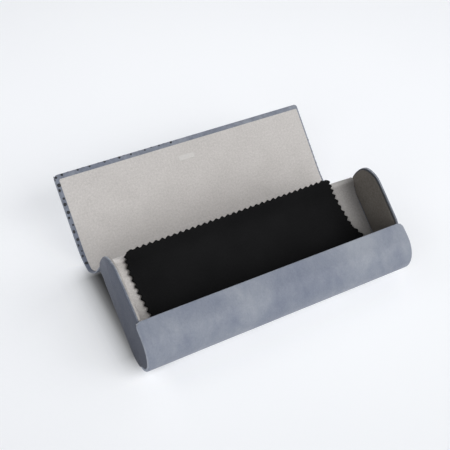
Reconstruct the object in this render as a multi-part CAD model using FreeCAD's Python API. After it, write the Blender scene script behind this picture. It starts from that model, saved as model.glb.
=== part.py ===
import FreeCAD, Part
import math
import os

# Spectacles case, open with its lid laid back, in millimetres.
# +X runs along the case, +Y to the rear, +Z up; the table is z = 0.
# Pieces are drawn in a section frame (s, t) and extruded along X: s runs to the rear
# along the flat floor of the base, t is square to the floor, and the origin is the
# centre of the front half-round of the base. Angles are in degrees, from +s towards +t.

Vector = FreeCAD.Vector

# ---- whole case ----
LENGTH = 160.0          # base and lid
HALF = LENGTH / 2
TILT = 29.0             # forward lean of the base
OPEN_ANGLE = 169.3      # lid, from shut to laid back
HINGE_S, HINGE_T = 47.5, -16.24
CENTRE_Y = 49.8525      # section origin to the middle of the open case
REAR_S = 34.0           # centre of the rear half-round
LINING = 0.60
STEEL = 0.48
GAP = 0.02              # clearance between glued layers

# ---- base ----
R_OUT = 14.60           # outside of the leather
R_IN = 12.90            # inside of the lining
LEATHER = 0.58
R_LINING = R_IN + LINING        # outside of the lining
R_LEATHER = R_OUT - LEATHER     # inside of the leather
RIM_ANGLE = -42.0       # rear rim, on the rear arc
WALL_END_S = 8.5        # edge of the front wall, which wraps over the top
TURN_IN = 0.6           # leather turned in around the edges
CORE_INSET = TURN_IN + 0.04     # from the outer edges to the sheet
INNER_BAND_INSET = 0.3  # turned-in leather at the ends, short of the wall edge
FUSE_OVERLAP = 0.1      # bite of the turned-in leather into the cover
STEEL_RIM_EXTRA = 2.0   # degrees the sheet stops below the rear rim

# ---- magnet strips ----
MAGNET_LENGTH = 20.0
MAGNET_FIT = 0.05       # clearance in the pocket, per side
BASE_MAGNET_S = (0.4, WALL_END_S - CORE_INSET - 1.2)    # straight part of the wall
BASE_POCKET_T = (13.0, 14.4)    # cuts right through the sheet

# ---- end caps ----
CAP_X = 77.7            # outer face
CAP_T = 2.5             # thickness
CAP_R = 13.90           # exposed edge
CAP_SKIN = 0.58
CAP_LINING = 0.50
BINDING = 0.60
CAP_COVERED_R = R_IN - GAP      # edge tucked inside the shell
CAP_BOUND_R = CAP_R - BINDING   # inside of the edge binding
CAP_RIM_ANGLE = RIM_ANGLE + 3.0     # the exposed edge begins just above the rim
CAP_SPLIT_ANGLE = 22.0  # the exposed arc is drawn in two parts, meeting here
CAP_STEP_S = WALL_END_S + 0.6   # the exposed edge ends just behind the front wall
CAP_SKIN_X = CAP_X - CAP_SKIN
CAP_LINING_X = CAP_X - CAP_T + CAP_LINING
CAP_INNER_X = CAP_X - CAP_T

# ---- lid, as drawn shut ----
LID_R_IN = 15.20        # inside of the lining
LID_R_OUT = 19.50       # outside of the leather
LID_ANGLE_IN = 58.0     # tapered rear end, on the inside face
LID_ANGLE_OUT = 44.0    # and on the outside face
LID_S = -7.8            # free edge
LID_SKIN = 0.68
LID_ROUND = 1.2         # fillet on the outer edges
LID_R_LINING = LID_R_IN + LINING        # outside of the lining
LID_R_SKIN = LID_R_OUT - LID_SKIN       # inside of the leather
LID_R_STEEL = LID_R_LINING + GAP + STEEL    # outside of the sheet
CORE_BACK = 5.4         # sheet and pad stop this far short of the tapered end
LID_POCKET_BACK = CORE_BACK - 0.2
LID_POCKET_EDGE = 0.7   # leather left around the core pocket
LID_CORE_EDGE = LID_POCKET_EDGE + 0.04
LID_BORDER = 1.8        # leather turned in along the two short edges
LID_BORDER_FREE = 2.2   # and along the free edge
LID_BORDER_FIT = 0.03
LINING_CUT_DEPTH = 0.5  # lining pocket starts this far below the inside face
LINING_CUT_ANGLE = 6.0  # and runs out past the tapered end by this
LID_MAGNET_S = LID_S + 8.0
LID_MAGNET_WIDTH = 8.0
LID_MAGNET_CUT = (1.0, 2.0)     # pocket below and above the face of the lining

# ---- raised rectangle on the lid lining ----
PATCH_X, PATCH_S = -3.0, LID_S + 10.5   # middle in X, front edge in s
PATCH_LENGTH, PATCH_WIDTH, PATCH_T = 10.0, 3.0, 0.25

# ---- soft spine ----
SPINE_T = 0.62
SPINE_LINING_T = 0.50
SEAM_ANGLES = (-66.0, -57.0)    # glued to the base between these
SEAM_GAP = 0.10         # between the base leather and the strip
LID_SEAM_SINK = 0.03    # extra depth below the lid's outer face
LID_SEAM_ANGLES = (LID_ANGLE_OUT - 5.0, LID_ANGLE_OUT - 0.6)
SPINE_LINING_OFFSET = 0.80      # middle of the lining from the middle of the leather
SPINE_LINING_HALF = CAP_INNER_X - 0.3
RIBBON_STATIONS = 41
BESIDE_STATIONS = 9     # lining points taken beside the leather
BESIDE_START = 3        # first of them: index in SPINE_LEATHER_YZ

# Free part of each strip: (y, z), y from the section origin, z above the table.
SPINE_LEATHER_YZ = [(44.35, 25.25), (46.05, 24.75), (47.6, 22.2),
                    (49.9, 18.4), (53.3, 13.4), (57.6, 8.1)]
SPINE_LINING_YZ = [(43.75, 29.55), (45.25, 29.1), (46.9, 27.0), (48.75, 23.9)]
# Lining on the lid's tapered end: (fraction from inside to outside face, offset from it).
TAPER_STATIONS = [(0.60, 0.50), (0.34, 0.38), (0.05, 0.34)]
# Lining on the base rim: (radius beyond the middle of the base lining, degrees past the rim).
RIM_STATIONS = [(0.0, 0.4), (0.1, 4.0)]

# ---- folded cleaning cloth ----
CLOTH_HALF = 67.0
CLOTH_RADII = (11.3, 12.6)
CLOTH_ANGLE = -14.0     # rear edge, on the rear arc
CLOTH_S = 0.5           # front edge, on the floor


# ---- section drawing ----
def vector(point):
    return Vector(0, *point)


def polar(centre_s, radius, angle):
    turn = math.radians(angle)
    return (centre_s + radius * math.cos(turn), radius * math.sin(turn))


def rear(radius, angle):
    return polar(REAR_S, radius, angle)


def rotated(s, t, angle):
    turn = math.radians(angle)
    return (s * math.cos(turn) - t * math.sin(turn), s * math.sin(turn) + t * math.cos(turn))


def arc(centre_s, radius, start, end):
    ends = [vector(polar(centre_s, radius, a)) for a in (start, 0.5 * (start + end), end)]
    return Part.Arc(*ends).toShape()


def line(start, end):
    return Part.makeLine(vector(start), vector(end))


def across(half):
    """X range centred on the case."""
    return (-half, half)


def end_range(side, x_a, x_b):
    """X range at one end of the case; side is -1 or 1."""
    return sorted((side * x_a, side * x_b))


def prism(edges, x_range):
    x_start, x_end = x_range
    face = Part.Face(Part.Wire(Part.__sortEdges__(edges)))
    face.translate(Vector(x_start, 0, 0))
    return face.extrude(Vector(x_end - x_start, 0, 0))


def box(length, s_range, t_range, x_middle=0.0):
    (s0, s1), (t0, t1) = s_range, t_range
    return Part.makeBox(length, s1 - s0, t1 - t0, Vector(x_middle - length / 2, s0, t0))


def base_layer(r0, r1, rim_angle, s_end, x_range):
    """Layer from the rear rim, under the floor and round the front to s_end on top."""
    edges = []
    for r in (r0, r1):
        edges += [arc(REAR_S, r, rim_angle, -90.0),
                  line((REAR_S, -r), (0.0, -r)),
                  arc(0.0, r, 270.0, 180.0),
                  arc(0.0, r, 180.0, 90.0),
                  line((0.0, r), (s_end, r))]
    edges += [line(rear(r0, rim_angle), rear(r1, rim_angle)),
              line((s_end, r0), (s_end, r1))]
    return prism(edges, x_range)


def lid_layer(r0, r1, angle0, angle1, s_end, half):
    """Layer from the rear arc, starting at angle0 on r0 and angle1 on r1, to s_end."""
    edges = []
    for r, angle in ((r0, angle0), (r1, angle1)):
        edges += [arc(REAR_S, r, angle, 90.0),
                  line((REAR_S, r), (s_end, r))]
    edges += [line(rear(r0, angle0), rear(r1, angle1)),
              line((s_end, r0), (s_end, r1))]
    return prism(edges, across(half))


def taper_angle(radius, back=0.0):
    """Angle of the lid's tapered end at a radius, moved along the arc by back."""
    fraction = (radius - LID_R_IN) / (LID_R_OUT - LID_R_IN)
    return (LID_ANGLE_IN + (LID_ANGLE_OUT - LID_ANGLE_IN) * fraction
            + math.degrees(back / radius))


# ---- base ----
def base_leather_cover():
    cover = base_layer(R_LEATHER, R_OUT, RIM_ANGLE, WALL_END_S, across(HALF))
    turn_r = R_LEATHER + FUSE_OVERLAP
    cover = cover.fuse(box(LENGTH, (WALL_END_S - TURN_IN, WALL_END_S), (R_IN, turn_r)))
    band_s = WALL_END_S - INNER_BAND_INSET
    for side in (-1, 1):
        band = base_layer(R_IN, R_LINING, RIM_ANGLE, band_s,
                          end_range(side, CAP_X + 0.05, HALF))
        rim = base_layer(R_IN, turn_r, RIM_ANGLE, band_s,
                         end_range(side, HALF - TURN_IN, HALF))
        cover = cover.fuse(band).fuse(rim)
    return cover.removeSplitter()


def base_steel_shell():
    sheet = base_layer(R_LINING + GAP, R_LEATHER - GAP, RIM_ANGLE - STEEL_RIM_EXTRA,
                       WALL_END_S - CORE_INSET, across(HALF - CORE_INSET))
    return sheet.cut(box(MAGNET_LENGTH, BASE_MAGNET_S, BASE_POCKET_T))


def base_lining():
    return base_layer(R_IN, R_LINING, RIM_ANGLE, WALL_END_S - CORE_INSET, across(CAP_X))


def base_magnet_strip():
    s0, s1 = BASE_MAGNET_S
    return box(MAGNET_LENGTH - 2 * MAGNET_FIT, (s0 + MAGNET_FIT, s1 - MAGNET_FIT),
               (R_LINING + GAP, R_LEATHER - GAP))


# ---- end caps ----
def cap_layer(exposed_r, x_range):
    """Closed oval, tucked inside the shell in front and below, larger where exposed."""
    covered_r = CAP_COVERED_R
    edges = [arc(REAR_S, exposed_r, CAP_RIM_ANGLE, CAP_SPLIT_ANGLE),
             arc(REAR_S, exposed_r, CAP_SPLIT_ANGLE, 90.0),
             line((REAR_S, exposed_r), (CAP_STEP_S, exposed_r)),
             line((CAP_STEP_S, exposed_r), (CAP_STEP_S, covered_r)),
             line((CAP_STEP_S, covered_r), (0.0, covered_r)),
             arc(0.0, covered_r, 90.0, 180.0),
             arc(0.0, covered_r, 180.0, 270.0),
             line((0.0, -covered_r), (REAR_S, -covered_r)),
             arc(REAR_S, covered_r, -90.0, CAP_RIM_ANGLE),
             line(rear(covered_r, CAP_RIM_ANGLE), rear(exposed_r, CAP_RIM_ANGLE))]
    return prism(edges, x_range)


def cap_binding(x_range):
    """Strip around the exposed edge of the board and lining."""
    edges = []
    for r in (CAP_R, CAP_BOUND_R):
        edges += [arc(REAR_S, r, CAP_RIM_ANGLE, 90.0),
                  line((REAR_S, r), (CAP_STEP_S, r))]
    edges += [line(rear(CAP_BOUND_R, CAP_RIM_ANGLE), rear(CAP_R, CAP_RIM_ANGLE)),
              line((CAP_STEP_S, CAP_BOUND_R), (CAP_STEP_S, CAP_R))]
    return prism(edges, x_range)


def end_cap(name, side):
    half_gap = GAP / 2
    core_r = CAP_BOUND_R - GAP
    skin_x = end_range(side, CAP_X, CAP_SKIN_X + half_gap)
    board_x = end_range(side, CAP_SKIN_X - half_gap, CAP_LINING_X + half_gap)
    lining_x = end_range(side, CAP_LINING_X - half_gap, CAP_INNER_X)
    binding_x = end_range(side, CAP_SKIN_X - half_gap, CAP_INNER_X)
    return {"end_cap_leather_" + name: cap_layer(CAP_R, skin_x),
            "end_cap_board_" + name: cap_layer(core_r, board_x),
            "end_cap_lining_" + name: cap_layer(core_r, lining_x),
            "end_cap_edge_binding_" + name: cap_binding(binding_x)}


# ---- lid, shut ----
def is_rounded(edge):
    """Outer edges of the lid block at both ends and along the free edge."""
    bounds = edge.BoundBox
    corners = [vertex.Point for vertex in edge.Vertexes]
    on_end = abs(abs(bounds.XMin) - HALF) < 1e-6 and bounds.XLength < 1e-6
    on_outside = all(abs(p.z - LID_R_OUT) < 1e-6
                     or abs(math.hypot(p.y - REAR_S, p.z) - LID_R_OUT) < 1e-6
                     for p in corners)
    on_free_edge = (bounds.XLength > 100
                    and abs(corners[0].y - LID_S) < 1e-6
                    and abs(corners[0].z - LID_R_OUT) < 1e-6)
    return (on_outside and on_end and bounds.YLength > 2.0) or on_free_edge


def lid_leather_cover():
    block = lid_layer(LID_R_IN, LID_R_OUT, LID_ANGLE_IN, LID_ANGLE_OUT, LID_S, HALF)
    block = block.makeFillet(LID_ROUND, [edge for edge in block.Edges if is_rounded(edge)])
    core_pocket = lid_layer(LID_R_LINING, LID_R_SKIN,
                            taper_angle(LID_R_LINING, LID_POCKET_BACK),
                            taper_angle(LID_R_SKIN, LID_POCKET_BACK),
                            LID_S + LID_POCKET_EDGE, HALF - LID_POCKET_EDGE)
    lining_pocket = lid_layer(LID_R_IN - LINING_CUT_DEPTH, LID_R_LINING,
                              taper_angle(LID_R_IN) - LINING_CUT_ANGLE,
                              taper_angle(LID_R_LINING) - LINING_CUT_ANGLE,
                              LID_S + LID_BORDER_FREE, HALF - LID_BORDER)
    return block.cut(core_pocket).cut(lining_pocket)


def lid_steel_shell():
    sheet = lid_layer(LID_R_LINING + GAP, LID_R_STEEL,
                      taper_angle(LID_R_LINING, CORE_BACK),
                      taper_angle(LID_R_STEEL, CORE_BACK),
                      LID_S + LID_CORE_EDGE, HALF - LID_CORE_EDGE)
    below, above = LID_MAGNET_CUT
    return sheet.cut(box(MAGNET_LENGTH, (LID_MAGNET_S, LID_MAGNET_S + LID_MAGNET_WIDTH),
                         (LID_R_LINING - below, LID_R_LINING + above)))


def lid_foam_pad():
    return lid_layer(LID_R_STEEL + GAP, LID_R_SKIN - GAP,
                     taper_angle(LID_R_STEEL, CORE_BACK),
                     taper_angle(LID_R_SKIN, CORE_BACK),
                     LID_S + LID_CORE_EDGE, HALF - LID_CORE_EDGE)


def lid_lining():
    return lid_layer(LID_R_IN, LID_R_LINING - GAP,
                     taper_angle(LID_R_IN), taper_angle(LID_R_LINING),
                     LID_S + LID_BORDER_FREE + LID_BORDER_FIT,
                     HALF - LID_BORDER - LID_BORDER_FIT)


def lid_magnet_strip():
    return box(MAGNET_LENGTH - 2 * MAGNET_FIT,
               (LID_MAGNET_S + MAGNET_FIT, LID_MAGNET_S + LID_MAGNET_WIDTH - MAGNET_FIT),
               (LID_R_LINING + GAP, LID_R_STEEL - GAP))


def lid_lining_patch():
    top = LID_R_IN - GAP
    return box(PATCH_LENGTH, (PATCH_S, PATCH_S + PATCH_WIDTH), (top - PATCH_T, top), PATCH_X)


# ---- soft spine, drawn with the lid laid back ----
def opened(s, t):
    """Carry a section point of the shut lid round to the laid-back position."""
    s, t = rotated(s - HINGE_S, t - HINGE_T, -OPEN_ANGLE)
    return (HINGE_S + s, HINGE_T + t)


def from_table(y, z):
    return rotated(y, z - R_OUT, -TILT)


def curve_through(points):
    curve = Part.BSplineCurve()
    curve.interpolate([vector(p) for p in points])
    return curve


def beside_curve(curve, start, end, count, distance):
    """Section points at a distance square to the curve, between two parameters."""
    points = []
    for i in range(count):
        parameter = start + (end - start) * i / (count - 1)
        place = curve.value(parameter)
        along = curve.tangent(parameter)[0]
        points.append((place.y - along.z * distance, place.z + along.y * distance))
    return points


def ribbon(points, thickness, half):
    """Strip whose middle follows the points."""
    middle = curve_through(points)
    a, b = [beside_curve(middle, middle.FirstParameter, middle.LastParameter,
                         RIBBON_STATIONS, distance)
            for distance in (thickness / 2, -thickness / 2)]
    edges = [curve_through(a).toShape(), line(a[-1], b[-1]),
             curve_through(b).toShape(), line(b[0], a[0])]
    return prism(edges, across(half))


def spine_leather_points():
    first, last = SEAM_ANGLES
    seam_r = R_OUT + SEAM_GAP + SPINE_T / 2
    lid_r = LID_R_OUT - SPINE_T / 2 - LID_SEAM_SINK
    return ([rear(seam_r, angle) for angle in (first, 0.5 * (first + last), last)]
            + [from_table(y, z) for y, z in SPINE_LEATHER_YZ]
            + [opened(*rear(lid_r, angle)) for angle in LID_SEAM_ANGLES])


def spine_lining_points():
    """From the base rim, beside the leather, then up the lid's tapered end."""
    points = [rear(R_IN + LINING / 2 + out, RIM_ANGLE + past) for out, past in RIM_STATIONS]
    points += [from_table(y, z) for y, z in SPINE_LINING_YZ]

    leather = spine_leather_points()
    middle = curve_through(leather)
    start_point = from_table(*SPINE_LEATHER_YZ[BESIDE_START])
    points += beside_curve(middle, middle.parameter(vector(start_point)),
                           middle.parameter(vector(leather[-2])),
                           BESIDE_STATIONS, SPINE_LINING_OFFSET)

    inner = rear(LID_R_IN, LID_ANGLE_IN)
    outer = rear(LID_R_OUT, LID_ANGLE_OUT)
    ds, dt = outer[0] - inner[0], outer[1] - inner[1]
    width = math.hypot(ds, dt)
    for fraction, offset in TAPER_STATIONS:
        points.append(opened(inner[0] + ds * fraction + dt / width * offset,
                             inner[1] + dt * fraction - ds / width * offset))
    return points


# ---- cloth, lying in the tray ----
def cleaning_cloth():
    r0, r1 = CLOTH_RADII
    edges = []
    for r in CLOTH_RADII:
        edges += [arc(REAR_S, r, CLOTH_ANGLE, -90.0),
                  line((REAR_S, -r), (CLOTH_S, -r))]
    edges += [line(rear(r0, CLOTH_ANGLE), rear(r1, CLOTH_ANGLE)),
              line((CLOTH_S, -r0), (CLOTH_S, -r1))]
    return prism(edges, across(CLOTH_HALF))


# ---- assembly ----
lid = {"lid_leather_cover": lid_leather_cover(),
       "lid_steel_shell": lid_steel_shell(),
       "lid_foam_pad": lid_foam_pad(),
       "lid_lining": lid_lining(),
       "lid_magnet_strip": lid_magnet_strip(),
       "lid_lining_patch": lid_lining_patch()}
for shape in lid.values():
    shape.rotate(Vector(0, HINGE_S, HINGE_T), Vector(1, 0, 0), -OPEN_ANGLE)

parts = {"base_leather_cover": base_leather_cover(),
         "base_steel_shell": base_steel_shell(),
         "base_lining": base_lining(),
         "base_magnet_strip": base_magnet_strip(),
         **end_cap("left", -1),
         **end_cap("right", 1),
         **lid,
         "spine_leather_strip": ribbon(spine_leather_points(), SPINE_T, HALF),
         "spine_lining_strip": ribbon(spine_lining_points(), SPINE_LINING_T,
                                      SPINE_LINING_HALF),
         "cleaning_cloth": cleaning_cloth()}

# Lean the case forward, set it on the table and centre it.
os.makedirs("parts", exist_ok=True)
for name, shape in parts.items():
    shape.rotate(Vector(0, 0, 0), Vector(1, 0, 0), TILT)
    shape.translate(Vector(0, -CENTRE_Y, R_OUT))
    shape.Solids[0].exportStep("parts/" + name + ".step")
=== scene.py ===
# Long leather-covered case with its lid swung open to the rear, velvet lining, an end cap at
# each end and two zigzag-edged cleaning cloths lying in the tray.
# Sizes are in mm. x runs along the case to the right, y to the rear, z up from the table.
# The cross-section has its own frame: s to the rear, t square to the tray floor, tipped up
# towards the rear by TILT, with its origin on the centre line of the tray's front round.
import math
from itertools import cycle

import bmesh
import bpy
import numpy as np
from mathutils import Matrix, Vector


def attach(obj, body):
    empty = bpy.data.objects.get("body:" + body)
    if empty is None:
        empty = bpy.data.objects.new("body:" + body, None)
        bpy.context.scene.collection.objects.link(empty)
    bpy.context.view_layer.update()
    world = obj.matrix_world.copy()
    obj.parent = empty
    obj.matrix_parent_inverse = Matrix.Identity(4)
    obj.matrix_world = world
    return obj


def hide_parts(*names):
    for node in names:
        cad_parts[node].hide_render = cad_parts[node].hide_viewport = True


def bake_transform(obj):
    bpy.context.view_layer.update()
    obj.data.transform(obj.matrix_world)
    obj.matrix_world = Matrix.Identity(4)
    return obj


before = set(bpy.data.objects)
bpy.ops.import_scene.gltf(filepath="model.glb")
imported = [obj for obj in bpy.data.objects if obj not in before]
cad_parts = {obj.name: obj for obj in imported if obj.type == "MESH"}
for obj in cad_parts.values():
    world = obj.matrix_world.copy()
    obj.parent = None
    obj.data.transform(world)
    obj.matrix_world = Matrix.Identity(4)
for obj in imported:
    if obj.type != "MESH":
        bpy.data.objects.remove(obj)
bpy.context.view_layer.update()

MM = 0.001
LENGTH = 160.0
HALF_LENGTH = LENGTH / 2
TILT = 29.0
SPAN = 34.0           # between the centres of the front and the rear round
SHELL_R = 14.60       # outside of the shell's rounds
TRAY_R = 12.90        # inside of the shell's rounds
RIM_ANGLE = -42.0     # where the rear wall ends
LIP_S = 8.5           # how far the front wall reaches back over the tray
CAP_X = 77.7          # outer face of an end cap
CAP_THICK = 2.5
CAP_R = 13.90
LID_R_IN = 15.20
LID_R_OUT = 19.50
LID_THICK = LID_R_OUT - LID_R_IN
LID_ANGLE_IN = 58.0   # where the lid's round ends, inside and outside
LID_ANGLE_OUT = 44.0
LID_S = -7.8          # the lid's free edge, closed
OPEN_ANGLE = 169.3
HINGE_S, HINGE_T = 47.5, -16.24
SEAM_ANGLES = (-66.0, -57.0)  # where the spine is glued to the shell
ORIGIN_Y = 49.8525    # the frame's y origin, counted from the section origin
COS_TILT = math.cos(math.radians(TILT))
SIN_TILT = math.sin(math.radians(TILT))


# ---- places in the section ----
def to_table(s, t):
    """section point -> (y, z), y still counted from the section origin"""
    return (s * COS_TILT - t * SIN_TILT, SHELL_R + s * SIN_TILT + t * COS_TILT)


def to_section(point):
    """(y, z) -> section point"""
    y, z = point[..., 0], point[..., 1] - SHELL_R
    return y * COS_TILT + z * SIN_TILT, -y * SIN_TILT + z * COS_TILT


def to_opened(s, t):
    """section point of the closed lid -> (y, z) with the lid open"""
    angle = math.radians(-OPEN_ANGLE)
    ds, dt = s - HINGE_S, t - HINGE_T
    return to_table(HINGE_S + ds * math.cos(angle) - dt * math.sin(angle),
                    HINGE_T + ds * math.sin(angle) + dt * math.cos(angle))


def polar(centre_s, radius, angle):
    return (centre_s + radius * math.cos(math.radians(angle)),
            radius * math.sin(math.radians(angle)))


def smooth(x, start, end):
    """0 before start, 1 after end, eased between"""
    x = np.clip((np.asarray(x, float) - start) / (end - start), 0, 1)
    return x * x * (3 - 2 * x)


def interpolate(table, value):
    """look a value up in a table of (place, value) pairs"""
    return np.interp(value, *zip(*table))


def waves(count, low, high, seed):
    """gentle unevenness: a mean of sine waves with frequencies from low to high, rad/mm"""
    random = np.random.RandomState(seed)
    parts = [(random.uniform(low, high), random.uniform(0, 2 * math.pi),
              random.uniform(0, 2 * math.pi)) for _ in range(count)]

    def height(a, b):
        total = 0
        for frequency, heading, phase in parts:
            along = a * math.cos(heading) + b * math.sin(heading)
            total = total + np.sin(along * frequency + phase)
        return total / count
    return height


# ---- paths ----
def arc_points(centre_s, radius, start, end, count, place=to_table):
    return [place(*polar(centre_s, radius, a)) for a in np.linspace(start, end, count)]


def line_points(a, b, count, place=to_table):
    return [place(a[0] + (b[0] - a[0]) * k / count, a[1] + (b[1] - a[1]) * k / count)
            for k in range(count + 1)]


def spline(points, per_span):
    """centripetal Catmull-Rom curve through the points"""
    p = np.array(points, float)
    p = np.vstack([2 * p[0] - p[1], p, 2 * p[-1] - p[-2]])
    out = []
    for p0, p1, p2, p3 in zip(p, p[1:], p[2:], p[3:]):
        t0 = 0.0
        t1 = t0 + np.linalg.norm(p1 - p0) ** 0.5
        t2 = t1 + np.linalg.norm(p2 - p1) ** 0.5
        t3 = t2 + np.linalg.norm(p3 - p2) ** 0.5
        for k in range(per_span):
            t = t1 + (t2 - t1) * k / per_span

            def between(a, b, start, end):
                return (end - t) / (end - start) * a + (t - start) / (end - start) * b

            a1 = between(p0, p1, t0, t1)
            a2 = between(p1, p2, t1, t2)
            a3 = between(p2, p3, t2, t3)
            b1 = between(a1, a2, t0, t2)
            b2 = between(a2, a3, t1, t3)
            out.append(between(b1, b2, t1, t2))
    out.append(p[-2])
    return np.array(out)


class Path:
    """A line in the (y, z) plane, measured by arc length u. Its normal points to the left of
    travel, seen with y to the right and z up, for side 1 and to the right for side -1."""

    def __init__(self, points, side=1):
        p = np.array(points, float)
        keep = np.r_[True, np.linalg.norm(np.diff(p, axis=0), axis=1) > 1e-5]
        self.points = p[keep]
        spans = np.linalg.norm(np.diff(self.points, axis=0), axis=1)
        self.u = np.r_[0, np.cumsum(spans)]
        self.length = self.u[-1]
        self.side = side

    def at(self, u):
        u = np.asarray(u, float)
        y = np.interp(u, self.u, self.points[:, 0])
        z = np.interp(u, self.u, self.points[:, 1])
        return np.stack([y, z], -1)

    def frame(self, u):
        """positions and normals; past its ends the path goes straight on"""
        u = np.asarray(u, float)
        reach = 0.35
        before = self.at(np.clip(u - reach, 0, self.length))
        after = self.at(np.clip(u + reach, 0, self.length))
        heading = after - before
        heading /= np.linalg.norm(heading, axis=-1, keepdims=True) + 1e-12
        normal = np.stack([-heading[..., 1], heading[..., 0]], -1) * self.side
        over = np.maximum(u - self.length, 0) + np.minimum(u, 0)
        return self.at(u) + heading * over[..., None], normal


# ---- meshes ----
def make(name, verts, faces, attributes=None):
    """smooth-shaded object from points in mm, y counted from the section origin"""
    mesh = bpy.data.meshes.new(name)
    points = np.asarray(verts, float) * MM
    points[:, 1] -= ORIGIN_Y * MM
    mesh.from_pydata(points.tolist(), [], [tuple(int(i) for i in f) for f in faces])
    mesh.validate(clean_customdata=False)
    mesh.update()
    obj = bpy.data.objects.new(name, mesh)
    bpy.context.scene.collection.objects.link(obj)
    for key, values in (attributes or {}).items():
        values = np.asarray(values, np.float32)
        if values.ndim == 2:
            layer = mesh.attributes.new(key, "FLOAT_VECTOR", "POINT")
            layer.data.foreach_set("vector", values.ravel())
        else:
            layer = mesh.attributes.new(key, "FLOAT", "POINT")
            layer.data.foreach_set("value", values)
    mesh.polygons.foreach_set("use_smooth", [True] * len(mesh.polygons))
    return obj


def recalculate_normals(obj, weld=False):
    bm = bmesh.new()
    bm.from_mesh(obj.data)
    if weld:
        bmesh.ops.remove_doubles(bm, verts=bm.verts, dist=1e-6)
    bmesh.ops.recalc_face_normals(bm, faces=bm.faces)
    bm.to_mesh(obj.data)
    bm.free()


def register(obj, material, part, slot, *replaced):
    obj.data.materials.append(material)
    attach(obj, part)
    if replaced:
        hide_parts(*replaced)


def edge_steps(radius, limit):
    """distances from an edge, close together near it"""
    steps = [radius * (1 - math.cos(math.radians(a))) for a in (0, 12, 24, 36, 48, 60, 72, 84)]
    steps += [radius * 1.15, radius * 1.5 + 0.2, radius * 2 + 0.6, radius * 2.5 + 1.6]
    return [d for d in steps if d < limit]


def round_drop(distance, radius):
    """how far a rounded edge falls away at a distance from the edge"""
    k = np.clip(radius - np.asarray(distance, float), 0, radius)
    return radius - np.sqrt(np.maximum(radius * radius - k * k, 0))


def slab_stations(length, edge_round, corners, spacing):
    """places along a path: close together at both ends, even between"""
    near = edge_steps(edge_round, length / 2)
    places = {round(d, 5) for d in near} | {round(length - d, 5) for d in near}
    for radius, at_start in zip(corners, (True, False)):
        if radius > 0.3:
            for angle in range(0, 91, 9):
                d = radius * (1 - math.cos(math.radians(angle)))
                places.add(round(d if at_start else length - d, 5))
    inset = max(near)
    count = max(2, int((length - 2 * inset) / spacing))
    for k in range(count + 1):
        places.add(round(inset + (length - 2 * inset) * k / count, 5))
    kept = []
    for u in sorted(places):
        if not kept or u - kept[-1] > 0.015:
            kept.append(u)
    kept[-1] = length
    return np.array(kept)


def edge_distances(x, stations, length, half_widths, corners):
    """distance of each grid point from the slab's outline, round the corners too"""
    to_side = half_widths[:, None] - np.abs(x)
    nearest = to_side
    for radius, to_end in zip(corners, (stations, length - stations)):
        to_end = to_end[:, None]
        a, b = radius - to_side, radius - to_end
        rounded = radius - np.hypot(np.maximum(a, 0), np.maximum(b, 0))
        straight = np.minimum(to_side, to_end)
        nearest = np.minimum(nearest, np.where((a > 0) & (b > 0), rounded, straight))
    return np.maximum(nearest, 0)


def slab_faces(rows, columns, flip):
    outer, inner = np.arange(2 * rows * columns).reshape(2, rows, columns)
    faces = []
    for i in range(rows - 1):
        for j in range(columns - 1):
            faces.append((outer[i, j], outer[i, j + 1], outer[i + 1, j + 1], outer[i + 1, j]))
            faces.append((inner[i, j], inner[i + 1, j], inner[i + 1, j + 1], inner[i, j + 1]))
    for i in range(rows - 1):
        faces.append((outer[i, 0], outer[i + 1, 0], inner[i + 1, 0], inner[i, 0]))
        faces.append((outer[i, -1], inner[i, -1], inner[i + 1, -1], outer[i + 1, -1]))
    for j in range(columns - 1):
        faces.append((outer[0, j], inner[0, j], inner[0, j + 1], outer[0, j + 1]))
        faces.append((outer[-1, j], outer[-1, j + 1], inner[-1, j + 1], inner[-1, j]))
    return [f[::-1] for f in faces] if flip else faces


def slab(name, path, thickness, half_width, rounds, steps, corners=(0.01, 0.01),
         displace=None, width_at=None):
    """Closed sheet along a path: its outer face lies on the path, the thickness goes inwards.
    rounds: edge radii outside and inside; steps: grid spacing along and across;
    corners: radii of the outline at the path's start and end; displace(x, u): unevenness
    outside and inside; width_at(u): half width where it varies along the path."""
    round_out, round_in = rounds
    step_along, step_across = steps
    length = path.length
    stations = slab_stations(length, round_out, corners, step_along)
    if width_at:
        full = np.array([width_at(u) for u in stations], float)
    else:
        full = np.full(len(stations), half_width, float)
    widths = full - round_drop(stations, corners[0]) - round_drop(length - stations, corners[1])
    widths = widths[:, None]

    near = np.array(edge_steps(round_out, half_width / 2))
    inset = near.max()
    count = max(2, int((2 * half_width - 2 * inset) / step_across))
    core = widths - inset
    middle = -core + 2 * core * np.arange(1, count) / count
    x = np.hstack([-widths + near, middle, widths - near[::-1]])
    u = stations[:, None] * np.ones_like(x)
    distance = edge_distances(x, stations, length, full, corners)

    if callable(thickness):
        thick = np.array([thickness(u_) for u_ in stations])[:, None]
    else:
        thick = np.full((len(stations), 1), thickness)
    round_out = np.minimum(round_out, thick * 0.62)
    round_in = np.minimum(round_in, thick - round_out)
    top = -round_drop(distance, round_out)
    bottom = -thick + round_drop(distance, round_in)
    if displace:
        rise_out, rise_in = displace(x, u)
        fade = smooth(distance, 0.0, 1.0)
        top = top + rise_out * fade
        bottom = bottom + rise_in * fade

    position, normal = path.frame(stations)

    def face_points(offset):
        yz = position[:, None, :] + normal[:, None, :] * offset[..., None]
        return np.dstack([x, yz]).reshape(-1, 3)

    flat = [np.stack([x, u, offset], -1).reshape(-1, 3) * MM for offset in (top, bottom)]
    obj = make(name, np.vstack([face_points(top), face_points(bottom)]),
               slab_faces(*x.shape, flip=path.side < 0),
               {"rco": np.vstack(flat),
                "edge": np.r_[distance.ravel(), distance.ravel()],
                "inner": np.r_[np.zeros(x.size), np.ones(x.size)]})
    recalculate_normals(obj)
    obj.data.update()
    return obj


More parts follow.
